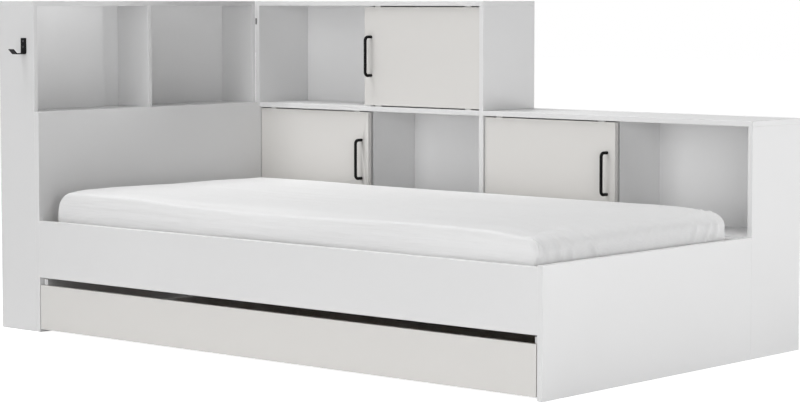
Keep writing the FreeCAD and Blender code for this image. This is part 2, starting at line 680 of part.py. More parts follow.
pads = []
for name, x in [("left", "bumper_inset"), ("right", "drawer_length - bumper_inset")]:
    at = (drawer_x + " + " + x, "front_y + drawer_depth", "plinth_height / 2")
    pads.append(rod("bumper_" + name, at, Y, "bumper_diameter", "bumper_thick"))
group("drawer_bumpers", pads)

CASTORS = []
for row, y in [("front", BOX_Y + " + castor_depth"),
               ("rear", "front_y + drawer_depth - board - castor_depth")]:
    for side, x in [("left", "board + castor_inset"), ("right", "drawer_length - board - castor_inset")]:
        CASTORS.append((row + "_" + side, (drawer_x + " + " + x, y, "axle_height")))

# Bracket: a plate with two ears pressed down beside the wheel, axle riveted in.
bracket = new_body("castor_bracket", ("0", "0", "0"))
ear = sketch(bracket, "ear", "YZ_Plane")
ear_rise = value("plate_top - axle_height")
ear_r = value("ear_radius")
for start, end in [((ear_r, 0), (ear_r, ear_rise)), ((ear_r, ear_rise), (-ear_r, ear_rise)),
                   ((-ear_r, ear_rise), (-ear_r, 0))]:
    ear.addGeometry(Part.LineSegment(FreeCAD.Vector(*start, 0), FreeCAD.Vector(*end, 0)), False)
ear_end = Part.Circle(FreeCAD.Vector(), Z, ear_r)
ear.addGeometry(Part.ArcOfCircle(ear_end, math.pi, 2 * math.pi), False)
ear.addConstraint(Sketcher.Constraint("Coincident", 0, 2, 1, 1))
ear.addConstraint(Sketcher.Constraint("Coincident", 1, 2, 2, 1))
ear.addConstraint(Sketcher.Constraint("Coincident", 2, 2, 3, 1))
ear.addConstraint(Sketcher.Constraint("Coincident", 0, 1, 3, 2))
ear.addConstraint(Sketcher.Constraint("Coincident", 3, 3, -1, 1))
for line, kind in [(0, "Vertical"), (1, "Horizontal"), (2, "Vertical")]:
    ear.addConstraint(Sketcher.Constraint(kind, line))
ear.addConstraint(Sketcher.Constraint("PointOnObject", 0, 1, -1))
dimension(ear, "rise", "plate_top - axle_height", "DistanceY", 0, 1, 0, 2, ear_rise)
dimension(ear, "round", "ear_radius", "Radius", 3, ear_r)
ears = pad(bracket, ear, "2 * ear_half")
ears.SideType = "Symmetric"
cut(bracket, "wheel_room", ("-(ear_half - ear_thick)", "-cutter_half", "-cutter_half"),
    ("2 * (ear_half - ear_thick)", "2 * cutter_half",
     "cutter_half + plate_top - axle_height - ear_thick"))
plate = bracket.newObject("PartDesign::AdditiveBox", "castor_bracket_plate")
bind(plate, Length="2 * (ear_half + plate_margin)", Width="wheel_diameter", Height="ear_thick")
put(plate, ("-(ear_half + plate_margin)", "-wheel_diameter / 2", "plate_top - axle_height - ear_thick"))
axle = bracket.newObject("PartDesign::AdditiveCylinder", "castor_bracket_axle")
bind(axle, Radius="axle_diameter / 2", Height="2 * ear_half")
put(axle, ("-ear_half", "0", "0"), X)
copies("castor_brackets", bracket, [place for name, place in CASTORS])


def castor_wheel(label, at):
    """Solid nylon wheel turned about X, with a raised hub bored for the axle."""
    wheel = new_body(label, at)
    half = sketch(wheel, "half", "XZ_Plane")
    side, face, inner = "wheel_width / 2", "tread_width / 2", "(axle_diameter / 2 + axle_play)"
    hub, tread = "hub_diameter / 2", "wheel_diameter / 2"
    outline(half, [("-" + side, inner), (side, inner), (side, hub), (face, hub), (face, tread),
                   ("-" + face, tread), ("-" + face, hub), ("-" + side, hub)])
    turned = wheel.newObject("PartDesign::Revolution", label + "_turned")
    turned.Profile = half
    turned.ReferenceAxis = (half, ["H_Axis"])
    turned.Angle = 360
    return wheel


for name, place in CASTORS:
    castor_wheel("castor_wheel_" + name, place)

# ---------------------------------------------------------------- check, write

DOC.recompute()
for item in DOC.Objects:
    if "Invalid" in item.State or "Error" in item.State:
        raise RuntimeError("%s did not build: %s" % (item.Name, item.State))

os.makedirs("parts", exist_ok=True)
for item in SUBPARTS:
    shape = item.Shape
    if shape.isNull() or not shape.isValid() or not shape.Solids:
        raise RuntimeError("%s has no valid solid" % item.Label)
    shape.exportStep("parts/%s.step" % item.Label)
    box = shape.BoundBox
    print("%-26s %2d solid(s) %10.0f mm3  x %8.1f %8.1f  y %7.1f %7.1f  z %6.1f %6.1f" % (
        item.Label, len(shape.Solids), shape.Volume, box.XMin, box.XMax, box.YMin, box.YMax,
        box.ZMin, box.ZMax))
print(len(SUBPARTS), "sub-parts")
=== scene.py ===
import math

import bmesh
import bpy
import numpy as np
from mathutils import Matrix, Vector, noise


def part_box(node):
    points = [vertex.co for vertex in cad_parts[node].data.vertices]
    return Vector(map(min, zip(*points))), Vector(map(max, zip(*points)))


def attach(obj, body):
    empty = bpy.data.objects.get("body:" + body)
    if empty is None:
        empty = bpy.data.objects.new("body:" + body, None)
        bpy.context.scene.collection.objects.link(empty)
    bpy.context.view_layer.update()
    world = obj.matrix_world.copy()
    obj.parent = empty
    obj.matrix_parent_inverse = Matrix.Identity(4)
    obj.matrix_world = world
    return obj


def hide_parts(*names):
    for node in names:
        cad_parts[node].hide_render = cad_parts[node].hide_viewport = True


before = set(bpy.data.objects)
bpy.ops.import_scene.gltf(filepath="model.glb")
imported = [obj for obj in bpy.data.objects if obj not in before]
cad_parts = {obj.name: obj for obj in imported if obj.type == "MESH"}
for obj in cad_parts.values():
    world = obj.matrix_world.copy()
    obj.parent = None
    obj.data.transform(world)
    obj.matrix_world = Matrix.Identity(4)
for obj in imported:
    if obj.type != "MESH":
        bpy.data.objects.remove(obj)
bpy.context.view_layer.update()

# ---------------------------------------------------------------- studio
# A plain pale floor, a white surround, large soft lamps, and a camera beyond the
# foot of the bed, just above its top.  Its lens is shifted down a little, so that
# the uprights stay nearly upright.

CAMERA_PLACE = (4.9136, -5.4987, 1.0476)
CAMERA_TURN = (math.radians(86.169), 0.0, math.radians(41.335))
CAMERA_LENS = 107.36
LENS_SHIFT = -0.05

scene = bpy.context.scene
scene.view_settings.view_transform = "Standard"


def add(tree, kind, links=(), **settings):
    """Add a shader node; links feed its inputs, capitalised settings fill them, others are options."""
    node = tree.nodes.new("ShaderNode" + kind)
    for name, content in settings.items():
        if name[0].isupper():
            node.inputs[name.replace("_", " ")].default_value = content
        else:
            setattr(node, name, content)
    for name, socket in dict(links).items():
        tree.links.new(socket, node.inputs[name])
    return node


def new_material(name):
    """A material with an empty node tree and its output node."""
    material = bpy.data.materials.new(name)
    material.use_nodes = True
    material.node_tree.nodes.clear()
    return material, material.node_tree, add(material.node_tree, "OutputMaterial")


def seen_directly(tree):
    """1 for rays from the camera, from glossy surfaces and through clear ones, else 0."""
    path = add(tree, "LightPath")
    either = add(tree, "Math", {0: path.outputs["Is Camera Ray"], 1: path.outputs["Is Glossy Ray"]},
                 operation="MAXIMUM")
    return add(tree, "Math", {0: either.outputs[0], 1: path.outputs["Is Transmission Ray"]},
               operation="MAXIMUM").outputs[0]


def place_lamp(name, target, direction, distance, size, power):
    """A square soft lamp that shines at a point from a direction."""
    data = bpy.data.lights.new(name, "AREA")
    data.size = size
    data.energy = power
    lamp = bpy.data.objects.new(name, data)
    scene.collection.objects.link(lamp)
    way = Vector(direction).normalized()
    lamp.location = Vector(target) + way * distance
    lamp.rotation_euler = way.to_track_quat("Z", "Y").to_euler()


camera_data = bpy.data.cameras.new("camera")
camera_data.lens = CAMERA_LENS
camera_data.sensor_width = 36.0
camera_data.sensor_fit = "HORIZONTAL"
camera_data.shift_y = LENS_SHIFT
camera_data.clip_end = 200.0
camera = bpy.data.objects.new("camera", camera_data)
camera.location = CAMERA_PLACE
camera.rotation_euler = CAMERA_TURN
scene.collection.objects.link(camera)
scene.camera = camera

# Each lamp: the point it shines at, the way to it from there, how far, how wide and its watts.
LAMPS = {
    "front_lamp": ((-0.2, 0.3, 0.5), (0.05, -1.0, 0.3), 6.0, 4.0, 88.0),
    "low_front_lamp": ((0.0, -0.3, 0.3), (-0.15, -1.0, 0.08), 5.0, 2.0, 31.0),
    "side_lamp": ((0.8, 0.2, 0.5), (0.8, -0.6, 0.12), 3.5, 1.4, 31.0),
    "rear_lamp": ((0.5, 0.3, 0.5), (1.0, 0.6, 0.05), 4.0, 1.0, 60.0),
    "top_lamp": ((0.0, 0.0, 0.4), (-0.29, -0.15, 1.0), 5.0, 3.0, 200.0),
}
for lamp_name, setting in LAMPS.items():
    place_lamp(lamp_name, *setting)

SKY = 0.02
world = bpy.data.worlds.new("surround")
world.use_nodes = True
world.node_tree.nodes.clear()
shown = seen_directly(world.node_tree)
level = add(world.node_tree, "MapRange", {"Value": shown}, To_Min=SKY, To_Max=1.0)
surround = add(world.node_tree, "Background", {"Strength": level.outputs[0]}, Color=(1.0, 1.0, 1.0, 1.0))
world.node_tree.links.new(surround.outputs[0], add(world.node_tree, "OutputWorld").inputs["Surface"])
scene.world = world

FLOOR_SIZE = 60.0
FLOOR_COLOUR = (0.80, 0.80, 0.80, 1.0)
FLOOR_LIFT = 0.92
FLOOR_NEAR, FLOOR_FAR = 3.0, 8.0
floor_mesh = bpy.data.meshes.new("floor")
reach = FLOOR_SIZE / 2
floor_mesh.from_pydata([(-reach, -reach, 0), (reach, -reach, 0), (reach, reach, 0), (-reach, reach, 0)],
                       [], [(0, 1, 2, 3)])
floor = bpy.data.objects.new("floor", floor_mesh)
scene.collection.objects.link(floor)
floor_finish, tree, output = new_material("pale_floor")
mottle = add(tree, "TexNoise", Scale=3.0, Detail=4.0)
tone = add(tree, "MixRGB", {"Fac": mottle.outputs["Fac"]}, Color1=FLOOR_COLOUR,
           Color2=tuple(0.97 * part for part in FLOOR_COLOUR[:3]) + (1.0,))
matt = add(tree, "BsdfDiffuse", {"Color": tone.outputs[0]})
away = add(tree, "VectorMath", {0: add(tree, "TexCoord").outputs["Object"]}, operation="LENGTH")
fading = add(tree, "MapRange", {"Value": away.outputs["Value"]}, From_Min=FLOOR_NEAR,
             From_Max=FLOOR_FAR, To_Min=FLOOR_LIFT, To_Max=1.0)
lift = add(tree, "Math", {0: seen_directly(tree), 1: fading.outputs[0]}, operation="MULTIPLY")
glow = add(tree, "Emission", {"Strength": lift.outputs[0]}, Color=(1.0, 1.0, 1.0, 1.0))
both = add(tree, "AddShader", {0: matt.outputs[0], 1: glow.outputs[0]})
tree.links.new(both.outputs[0], output.inputs["Surface"])
floor_mesh.materials.append(floor_finish)

# ---------------------------------------------------------------- white boards
# Chipboard faced with satin white melamine, with thin plastic edge bands whose
# long edges are eased by just under a millimetre.  They are dowelled and glued.

WHITE_FACE = (0.800, 0.800, 0.802)
# The edge band is lighter than the face: partly its own tone, partly a painted highlight along the eased
# edges.
WHITE_EDGE_AND_HIGHLIGHT = (0.840, 0.840, 0.842)
EASED_EDGE = 0.0009
SHORTEST_EASED = 0.012


def melamine(name, colour, roughness, grain=0.012):
    """Faced board: a faint cloudy tone, fine orange peel and slightly uneven gloss."""
    material, tree, output = new_material(name)
    place = add(tree, "TexCoord").outputs["Object"]
    cloud = add(tree, "TexNoise", {"Vector": place}, Scale=2.6, Detail=3.0, Roughness=0.55)
    dark = tuple(part * (1.0 - 2.0 * grain) for part in colour) + (1.0,)
    pale = tuple(min(1.0, part * (1.0 + grain)) for part in colour) + (1.0,)
    tone = add(tree, "MixRGB", {"Fac": cloud.outputs["Fac"]}, Color1=dark, Color2=pale)
    peel = add(tree, "TexNoise", {"Vector": place}, Scale=1400.0, Detail=2.0)
    swell = add(tree, "TexNoise", {"Vector": place}, Scale=45.0, Detail=2.0)
    height = add(tree, "Math", {0: peel.outputs["Fac"], 1: swell.outputs["Fac"]}, operation="ADD")
    bump = add(tree, "Bump", {"Height": height.outputs[0]}, Strength=0.12, Distance=0.0004)
    handled = add(tree, "TexNoise", {"Vector": place}, Scale=9.0, Detail=5.0, Roughness=0.65)
    gloss = add(tree, "MapRange", {"Value": handled.outputs["Fac"]}, To_Min=roughness - 0.06,
                To_Max=roughness + 0.06)
    shader = add(tree, "BsdfPrincipled", {"Base Color": tone.outputs[0], "Roughness": gloss.outputs[0],
                                          "Normal": bump.outputs[0]}, Specular_IOR_Level=0.4)
    tree.links.new(shader.outputs[0], output.inputs["Surface"])
    return material


def edge_band(name, colour):
    """Plastic edge band on the eased corners, slightly rubbed; its colour is partly its own tone, partly a
    painted highlight.
    """
    material, tree, output = new_material(name)
    place = add(tree, "TexCoord").outputs["Object"]
    rub = add(tree, "TexNoise", {"Vector": place}, Scale=70.0, Detail=6.0, Roughness=0.7)
    worn = add(tree, "MapRange", {"Value": rub.outputs["Fac"]}, From_Min=0.45, From_Max=0.7)
    dull = tuple(part * 0.93 for part in colour) + (1.0,)
    tone = add(tree, "MixRGB", {"Fac": worn.outputs[0]}, Color1=colour + (1.0,), Color2=dull)
    gloss = add(tree, "MapRange", {"Value": rub.outputs["Fac"]}, To_Min=0.28, To_Max=0.5)
    bump = add(tree, "Bump", {"Height": rub.outputs["Fac"]}, Strength=0.08, Distance=0.0003)
    shader = add(tree, "BsdfPrincipled", {"Base Color": tone.outputs[0], "Roughness": gloss.outputs[0],
                                          "Normal": bump.outputs[0]}, Specular_IOR_Level=0.4)
    tree.links.new(shader.outputs[0], output.inputs["Surface"])
    return material


def show(piece, body, slot, *nodes):
    """Attach a finished piece to its body and hide the nodes it stands for; slot is not used."""
    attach(piece, body)
    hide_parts(*nodes)
    return piece


def finished(name, form, *materials, smooth=False):
    """Turn a bmesh into a piece of the scene with its materials."""
    mesh = bpy.data.meshes.new(name)
    form.to_mesh(mesh)
    form.free()
    if smooth:
        mesh.shade_smooth()
    for material in materials:
        mesh.materials.append(material)
    piece = bpy.data.objects.new(name, mesh)
    scene.collection.objects.link(piece)
    return piece


def eased_board(node, body, slot, face, edge, width=EASED_EDGE):
    """The node's board with its long outer edges eased and its edge band."""
    form = bmesh.new()
    form.from_mesh(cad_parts[node].data)
    bmesh.ops.remove_doubles(form, verts=form.verts, dist=1e-6)
    bmesh.ops.dissolve_limit(form, angle_limit=math.radians(1.0), verts=form.verts, edges=form.edges)
    corners = [line for line in form.edges if len(line.link_faces) == 2
               and line.calc_face_angle_signed() > 1.2 and line.calc_length() > SHORTEST_EASED]
    for surface in form.faces:
        surface.material_index = 0
    eased = bmesh.ops.bevel(form, geom=corners, offset=width, segments=2, profile=0.5, affect="EDGES")
    for surface in eased["faces"]:
        surface.material_index = 1
        surface.smooth = True
    return show(finished(node + "_eased", form, face, edge), body, slot, node)


white_face = melamine("white_melamine", WHITE_FACE, 0.42)
# Eased edges: the band's tone, made lighter than the face as a painted highlight.
white_band_and_highlight = edge_band("eased_white_band_highlight", WHITE_EDGE_AND_HIGHLIGHT)
for node in ["headboard_front_side", "headboard_rear_side", "headboard_top", "headboard_shelf",
             "headboard_bottom", "headboard_divider", "headboard_panel", "bookcase_left_side",
             "bookcase_middle_upright", "bookcase_right_end", "bookcase_upper_top",
             "bookcase_middle_board", "bookcase_lower_top", "bookcase_left_floor",
             "bookcase_right_floor", "upper_partition", "lower_left_partition",
             "lower_right_partition", "bookcase_left_plinth", "bookcase_right_plinth",
             "front_rail", "rear_rail", "footboard"]:
    eased_board(node, "root", "white_board", white_face, white_band_and_highlight)

# ---------------------------------------------------------------- drawer box
# The drawer is five boards glued and dowelled, with a batten under the long
# bottom, all in the white board of the bed.

for node in ["drawer_left_side", "drawer_right_side", "drawer_back", "drawer_bottom", "drawer_batten"]:
    eased_board(node, "drawer", "white_board", white_face, white_band_and_highlight)

# ---------------------------------------------------------------- grey fronts
# The three sliding doors and the drawer front are the same board in a warm
# pale grey, with an edge band to match.

GREY_FACE = (0.744, 0.730, 0.708)
# The edge band is lighter than the face: partly its own tone, partly a painted highlight along the eased
# edges.
GREY_EDGE_AND_HIGHLIGHT = (0.810, 0.805, 0.785)
grey_face = melamine("grey_melamine", GREY_FACE, 0.40, grain=0.008)
# Eased edges of the fronts: the band's tone, made lighter as a painted highlight.
grey_band_and_highlight = edge_band("eased_grey_band_highlight", GREY_EDGE_AND_HIGHLIGHT)
DOORS = ["upper_door", "lower_left_door", "lower_right_door"]
for door in DOORS:
    eased_board(door, door, "grey_board", grey_face, grey_band_and_highlight)
eased_board("drawer_front", "drawer", "grey_board", grey_face, grey_band_and_highlight)

# ---------------------------------------------------------------- back sheets
# Thin hardboard, painted white on the room side and bare brown behind.  The
# sheets slide into grooves in the uprights and under the tops.

# The room side is paler than the white boards: partly its own white paint, partly painted light that
# brightens the recessed backs.
SHEET_WHITE_AND_PAINTED_LIGHT = (0.890, 0.890, 0.892)
SHEET_BROWN = (0.245, 0.150, 0.082)


def hardboard(name):
    """Bare back of a fibre board: brown, fibrous and pressed with a fine mesh."""
    material, tree, output = new_material(name)
    place = add(tree, "TexCoord").outputs["Object"]
    fibre = add(tree, "TexNoise", {"Vector": place}, Scale=160.0, Detail=8.0, Roughness=0.7)
    patch = add(tree, "TexNoise", {"Vector": place}, Scale=5.0, Detail=3.0)
    mixed = add(tree, "Math", {0: fibre.outputs["Fac"], 1: patch.outputs["Fac"]}, operation="MULTIPLY")
    tone = add(tree, "MixRGB", {"Fac": mixed.outputs[0]},
               Color1=tuple(0.75 * part for part in SHEET_BROWN) + (1.0,),
               Color2=tuple(1.55 * part for part in SHEET_BROWN) + (1.0,))
    mesh_print = add(tree, "TexVoronoi", {"Vector": place}, Scale=520.0)
    bump = add(tree, "Bump", {"Height": mesh_print.outputs["Distance"]}, Strength=0.35, Distance=0.0006)
    shader = add(tree, "BsdfPrincipled", {"Base Color": tone.outputs[0], "Normal": bump.outputs[0]},
                 Roughness=0.78, Specular_IOR_Level=0.25)
    tree.links.new(shader.outputs[0], output.inputs["Surface"])
    return material


# Room side: white paint made paler than the boards, as painted light on the recesses.
room_side_and_painted_light = melamine("sheet_white_and_light", SHEET_WHITE_AND_PAINTED_LIGHT, 0.5)
bare_back = hardboard("bare_hardboard")
for node, rear in [("headboard_back", (-1, 0, 0)), ("bookcase_left_back", (0, 1, 0)),
                   ("bookcase_right_back", (0, 1, 0))]:
    sheet = eased_board(node, "root", "back_sheet", room_side_and_painted_light, bare_back, width=0.0003)
    for surface in sheet.data.polygons:
        surface.material_index = 1 if surface.normal.dot(Vector(rear)) > 0.5 else 0

# ---------------------------------------------------------------- door handles
# Bow handles bent from round steel bar, powder coated black, with two pan head
# screws each from the back of the door.

BAR_RADIUS = 0.005
BAR_SIDES = 24
BEND_RADIUS = 0.012
BEND_STEPS = 10
FOOT_EASE = 0.0005


def powder_coat(name, colour):
    """Fine-grained matt coating with a soft sheen."""
    material, tree, output = new_material(name)
    place = add(tree, "TexCoord").outputs["Object"]
    grain = add(tree, "TexNoise", {"Vector": place}, Scale=2600.0, Detail=3.0)
    rub = add(tree, "TexNoise", {"Vector": place}, Scale=120.0, Detail=5.0, Roughness=0.65)
    tone = add(tree, "MixRGB", {"Fac": rub.outputs["Fac"]}, Color1=colour + (1.0,),
               Color2=tuple(part * 1.8 for part in colour) + (1.0,))
    gloss = add(tree, "MapRange", {"Value": rub.outputs["Fac"]}, To_Min=0.42, To_Max=0.62)
    bump = add(tree, "Bump", {"Height": grain.outputs["Fac"]}, Strength=0.25, Distance=0.00012)
    shader = add(tree, "BsdfPrincipled", {"Base Color": tone.outputs[0], "Roughness": gloss.outputs[0],
                                          "Normal": bump.outputs[0]}, Specular_IOR_Level=0.09)
    tree.links.new(shader.outputs[0], output.inputs["Surface"])
    return material


def plated_steel(name, dull, bright):
    """Plated or blackened steel, with dull patches in the finish."""
    material, tree, output = new_material(name)
    place = add(tree, "TexCoord").outputs["Object"]
    patch = add(tree, "TexNoise", {"Vector": place}, Scale=220.0, Detail=6.0, Roughness=0.7)
    tone = add(tree, "MixRGB", {"Fac": patch.outputs["Fac"]}, Color1=dull + (1.0,),
               Color2=bright + (1.0,))
    gloss = add(tree, "MapRange", {"Value": patch.outputs["Fac"]}, To_Min=0.22, To_Max=0.46)
    bump = add(tree, "Bump", {"Height": patch.outputs["Fac"]}, Strength=0.1, Distance=0.0001)
    shader = add(tree, "BsdfPrincipled", {"Base Color": tone.outputs[0], "Roughness": gloss.outputs[0],
                                          "Normal": bump.outputs[0]}, Metallic=1.0)
    tree.links.new(shader.outputs[0], output.inputs["Surface"])
    return material


def bent_path(corners, radius):
    """Points along straight runs with tangent round bends at the inner corners."""
    points = [corners[0]]
    for before, corner, after in zip(corners, corners[1:], corners[2:]):
        back, on = (before - corner).normalized(), (after - corner).normalized()
        half = back.angle(on) / 2.0
        middle = corner + (back + on).normalized() * (radius / math.sin(half))
        start = corner + back * (radius / math.tan(half)) - middle
        end = corner + on * (radius / math.tan(half)) - middle
        points += [middle + start.normalized().slerp(end.normalized(), step / BEND_STEPS) * radius
                   for step in range(BEND_STEPS + 1)]
    return points + [corners[-1]]


def sweep(form, points, section, side):
    """Carry a closed section along a flat path; side is the path plane's normal."""
    rings = []
    for index, point in enumerate(points):
        before, after = points[max(index - 1, 0)], points[min(index + 1, len(points) - 1)]
        along = (after - before).normalized()
        up = side.cross(along)
        rings.append([form.verts.new(point + side * across + up * out) for across, out in section])
    for lower, upper in zip(rings, rings[1:]):
        for index in range(len(section)):
            after = (index + 1) % len(section)
            form.faces.new((lower[index], lower[after], upper[after], upper[index]))
    form.faces.new(rings[0][::-1])
    form.faces.new(rings[-1])
    return rings


def circle(radius, sides):
    """Points round a circle."""
    return [(radius * math.cos(2 * math.pi * step / sides), radius * math.sin(2 * math.pi * step / sides))
            for step in range(sides)]


def turned(form, profile, centre, axis, sides, closed=False):
    """Turn a profile of (height, radius) points about an axis through a point."""
    across = axis.orthogonal().normalized()
    other = axis.cross(across)
    rings = []
    for height, radius in profile:
        if radius == 0.0:
            rings.append([form.verts.new(centre + axis * height)])
        else:
            rings.append([form.verts.new(centre + axis * height + across * x + other * y)
                          for x, y in circle(radius, sides)])
    pairs = list(zip(rings, rings[1:])) + ([(rings[-1], rings[0])] if closed else [])
    for lower, upper in pairs:
        for index in range(sides):
            after = (index + 1) % sides
            corners = [lower[index % len(lower)], lower[after % len(lower)],
                       upper[after % len(upper)], upper[index % len(upper)]]
            corners = [corner for place, corner in enumerate(corners) if corner not in corners[:place]]
            if len(corners) > 2:
                form.faces.new(corners)
    bmesh.ops.recalc_face_normals(form, faces=form.faces)


CROSS_ARM, CROSS_REACH, CROSS_DEPTH = 0.17, 0.62, 0.9
HEAD_RINGS, HEAD_SIDES = 12, 48


def driven_head(form, centre, axis, radius, dome, rise):
    """Screw head with a sunk cross: a turned head whose middle is pressed in."""
    across = axis.orthogonal().normalized()
    other = axis.cross(across)
    grid = []
    for ring in range(HEAD_RINGS + 1):
        share = ring / HEAD_RINGS
        loop = []
        for x, y in circle(share * radius, HEAD_SIDES) if ring else [(0.0, 0.0)]:
            height = rise + dome * math.cos(share * math.pi / 2) ** 0.8 if share < 1 else rise * 0.6
            narrow, far = sorted((abs(x), abs(y)))
            if narrow < CROSS_ARM * radius and far < CROSS_REACH * radius:
                height -= dome * CROSS_DEPTH
            loop.append(form.verts.new(centre + axis * height + across * x + other * y))
        grid.append(loop)
    grid.append([form.verts.new(centre + across * x + other * y) for x, y in circle(radius, HEAD_SIDES)])
    for lower, upper in zip(grid, grid[1:]):
        for index in range(HEAD_SIDES):
            after = (index + 1) % HEAD_SIDES
            corners = [upper[index], upper[after]]
            corners += [lower[0]] if len(lower) == 1 else [lower[after], lower[index]]
            form.faces.new(corners)
    form.faces.new(grid[-1])
    bmesh.ops.recalc_face_normals(form, faces=form.faces)


black_coat = powder_coat("black_powder_coat", (0.0035, 0.0035, 0.0038))
zinc = plated_steel("zinc_plate", (0.52, 0.53, 0.55), (0.70, 0.70, 0.69))
HEAD_RADIUS, HEAD_DOME, HEAD_RIM = 0.004, 0.0012, 0.0012
SHANK_RADIUS, SHANK_SIDES = 0.002, 20
THREAD_REACH = 0.0075
for door in DOORS:
    low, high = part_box(door + "_handle")
    middle_x = (low.x + high.x) / 2
    bar = [Vector((middle_x, y, z)) for y, z in [
        (high.y, low.z + BAR_RADIUS), (low.y + BAR_RADIUS, low.z + BAR_RADIUS),
        (low.y + BAR_RADIUS, high.z - BAR_RADIUS), (high.y, high.z - BAR_RADIUS)]]
    path = bent_path(bar, BEND_RADIUS)
    inward = Vector((0, -FOOT_EASE, 0))
    path = [path[0], path[0] + inward] + path[1:-1] + [path[-1] + inward, path[-1]]
    form = bmesh.new()
    rings = sweep(form, path, circle(BAR_RADIUS, BAR_SIDES), Vector((1, 0, 0)))
    for ring, point in [(rings[0], path[0]), (rings[-1], path[-1])]:
        for corner in ring:
            corner.co = point + (corner.co - point) * (1.0 - FOOT_EASE / BAR_RADIUS)
    bmesh.ops.recalc_face_normals(form, faces=form.faces)
    show(finished(door + "_bow", form, black_coat, smooth=True), door, "black_metal", door + "_handle")
    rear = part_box(door)[1].y
    form = bmesh.new()
    for foot in (bar[0], bar[-1]):
        seat = Vector((foot.x, rear, foot.z))
        driven_head(form, seat, Vector((0, 1, 0)), HEAD_RADIUS, HEAD_DOME, HEAD_RIM)
        tip = foot.y - rear - THREAD_REACH
        turned(form, [(0.0, 0.0), (0.0, SHANK_RADIUS), (tip, SHANK_RADIUS), (tip, 0.0)], seat,
               Vector((0, 1, 0)), SHANK_SIDES)
    show(finished(door + "_pan_screws", form, zinc, smooth=True), door, "screw_steel", door + "_screws")

# ---------------------------------------------------------------- door glides
# White nylon glides pressed into the door edges, whose tongues run in the
# grooves of the boards above and below.


def moulded_plastic(name, colour, roughness):
    """Moulded plastic with a fine spark-eroded grain."""
    material, tree, output = new_material(name)
    place = add(tree, "TexCoord").outputs["Object"]
    grain = add(tree, "TexNoise", {"Vector": place}, Scale=1800.0, Detail=2.0)
    cloud = add(tree, "TexNoise", {"Vector": place}, Scale=60.0, Detail=3.0)
    tone = add(tree, "MixRGB", {"Fac": cloud.outputs["Fac"]},
               Color1=tuple(part * 0.92 for part in colour) + (1.0,),
               Color2=tuple(min(part * 1.06, 1.0) for part in colour) + (1.0,))
    gloss = add(tree, "MapRange", {"Value": cloud.outputs["Fac"]}, To_Min=roughness - 0.07,
                To_Max=roughness + 0.07)
    bump = add(tree, "Bump", {"Height": grain.outputs["Fac"]}, Strength=0.2, Distance=0.0001)
    shader = add(tree, "BsdfPrincipled", {"Base Color": tone.outputs[0], "Roughness": gloss.outputs[0],
                                          "Normal": bump.outputs[0]}, Specular_IOR_Level=0.45)
    tree.links.new(shader.outputs[0], output.inputs["Surface"])
    return material


nylon = moulded_plastic("white_nylon", (0.78, 0.78, 0.765), 0.4)
for door in DOORS:
    eased_board(door + "_glides", door, "white_plastic", nylon, nylon)

# ---------------------------------------------------------------- coat hook
# A flat steel strip bent to an arm and a lip, coated black like the handles,
# on the headboard's front side with two blackened screws.

STRIP_EASE = 0.0006
HOOK_BEND = 0.004
LIP_ANGLE = math.radians(43.0)
LIP_LENGTH = 0.0205
STRIP_HALF = 0.0015
HOOK_DOME, HOOK_RIM = 0.0010, 0.0006
low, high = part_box("coat_hook")
middle_x = (low.x + high.x) / 2
wall_y = high.y - STRIP_HALF
arm_z = low.z + STRIP_HALF
lip = Vector((0.0, -math.cos(LIP_ANGLE), math.sin(LIP_ANGLE))) * LIP_LENGTH
tip_y = low.y + STRIP_HALF * math.sin(LIP_ANGLE)
hook_line = [Vector((middle_x, wall_y, high.z)), Vector((middle_x, wall_y, arm_z)),
             Vector((middle_x, tip_y - lip.y, arm_z)), Vector((middle_x, tip_y, arm_z + lip.z))]
half_width = (high.x - low.x) / 2
flat, thin = half_width - STRIP_EASE, STRIP_HALF - STRIP_EASE
strip = [(flat, STRIP_HALF), (-flat, STRIP_HALF), (-half_width, thin), (-half_width, -thin),
         (-flat, -STRIP_HALF), (flat, -STRIP_HALF), (half_width, -thin), (half_width, thin)]
form = bmesh.new()
sweep(form, bent_path(hook_line, HOOK_BEND), strip, Vector((1, 0, 0)))
bmesh.ops.recalc_face_normals(form, faces=form.faces)
show(finished("coat_hook_strip", form, black_coat), "root", "black_metal", "coat_hook")

blackened = plated_steel("blackened_steel", (0.045, 0.045, 0.048), (0.085, 0.085, 0.088))
low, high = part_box("coat_hook_screws")
form = bmesh.new()
hook_head = (high.x - low.x) / 2
for z in (low.z + hook_head, high.z - hook_head):
    seat = Vector((middle_x, wall_y - STRIP_HALF, z))
    driven_head(form, seat, Vector((0, -1, 0)), hook_head, HOOK_DOME, HOOK_RIM)
    tip = seat.y - high.y
    turned(form, [(0.0, 0.0), (0.0, SHANK_RADIUS), (tip, SHANK_RADIUS), (tip, 0.0)], seat,
           Vector((0, -1, 0)), SHANK_SIDES)
show(finished("hook_pan_screws", form, blackened, smooth=True), "root", "screw_steel", "coat_hook_screws")

# ---------------------------------------------------------------- connector cap
# A small dark cap over the joining screw in the front edge of the tall side
# panel, pressed in flush.

dark_cap = moulded_plastic("dark_cap", (0.030, 0.030, 0.033), 0.45)
eased_board("connector_cap", "root", "dark_plastic", dark_cap, dark_cap, width=0.0004)

# ---------------------------------------------------------------- rail joints
# Cam locks of zinc alloy, with a cross slot for the driver, and their steel
# bolts inside the rail ends.

